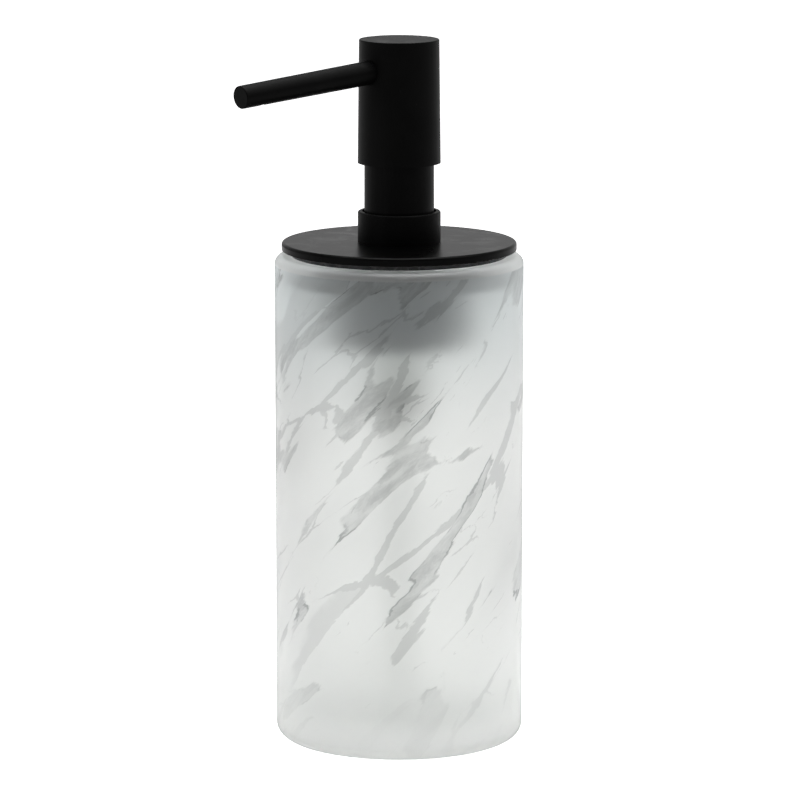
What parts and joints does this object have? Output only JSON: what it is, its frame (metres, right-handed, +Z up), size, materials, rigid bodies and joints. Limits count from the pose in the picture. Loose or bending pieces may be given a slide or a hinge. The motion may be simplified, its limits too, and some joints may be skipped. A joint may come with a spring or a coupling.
{
  "type": "soap pump dispenser",
  "caption": "Straight round glass bottle in a frosted marble look, with a plugged-in disc lid, a tall cylindrical press head and a long round side spout.",
  "frame": {"origin": "middle of the bottle's flat foot, on the axis of the bottle and pump", "axes": "+Z up along the axis of the bottle and pump; the spout points along -X; the part is symmetric about its XZ plane"},
  "size_m": [0.0915, 0.07, 0.1987],
  "materials": {
    "frosted_glass": "frosted, with a grey-veined white marble look outside",
    "lid_black": "satin black coating",
    "pump_black": "satin black moulding",
    "inner_black": "moulded black",
    "clear_silicone": "translucent silicone",
    "natural_plastic": "natural translucent polypropylene",
    "white_plastic": "soft white polyethylene",
    "bright_steel": "bright stainless wire and balls"
  },
  "bodies": {
    "bottle": {"bottle": "frosted_glass"},
    "lid": {"lid_disc": "lid_black", "seal_plug": "clear_silicone", "collar": "pump_black", "clamp_nut": "inner_black", "chaplet": "natural_plastic", "housing_gasket": "white_plastic", "housing": "natural_plastic", "ball_cage": "natural_plastic", "dip_tube": "natural_plastic", "spring": "bright_steel"},
    "inlet_ball": {"inlet_ball": "bright_steel"},
    "plunger": {"stem": "natural_plastic", "piston": "white_plastic", "piston_clip": "natural_plastic"},
    "outlet_ball": {"outlet_ball": "bright_steel"},
    "head": {"head_core": "inner_black", "sleeve": "pump_black", "head_shell": "pump_black", "spout": "pump_black"}
  },
  "joints": [
    {"name": "lid_lift", "type": "slide", "parent": "bottle", "child": "lid", "axis": [0, 0, 1], "range_m": [0, 0.135]},
    {"name": "head_press", "type": "slide", "parent": "lid", "child": "plunger", "axis": [0, 0, -1], "range_m": [0, 0.013], "stiffness_N_per_m": 600, "springref_m": -0.008, "deforming": ["spring"]},
    {"name": "head_turn", "type": "hinge", "parent": "plunger", "child": "head", "pos_m": [0, 0, 0.17], "axis": [0, 0, 1], "continuous": true},
    {"name": "inlet_ball_lift", "type": "slide", "parent": "lid", "child": "inlet_ball", "axis": [0, 0, 1], "range_m": [0, 0.0012]},
    {"name": "outlet_ball_lift", "type": "slide", "parent": "plunger", "child": "outlet_ball", "axis": [0, 0, 1], "range_m": [0, 0.0012]}
  ]
}
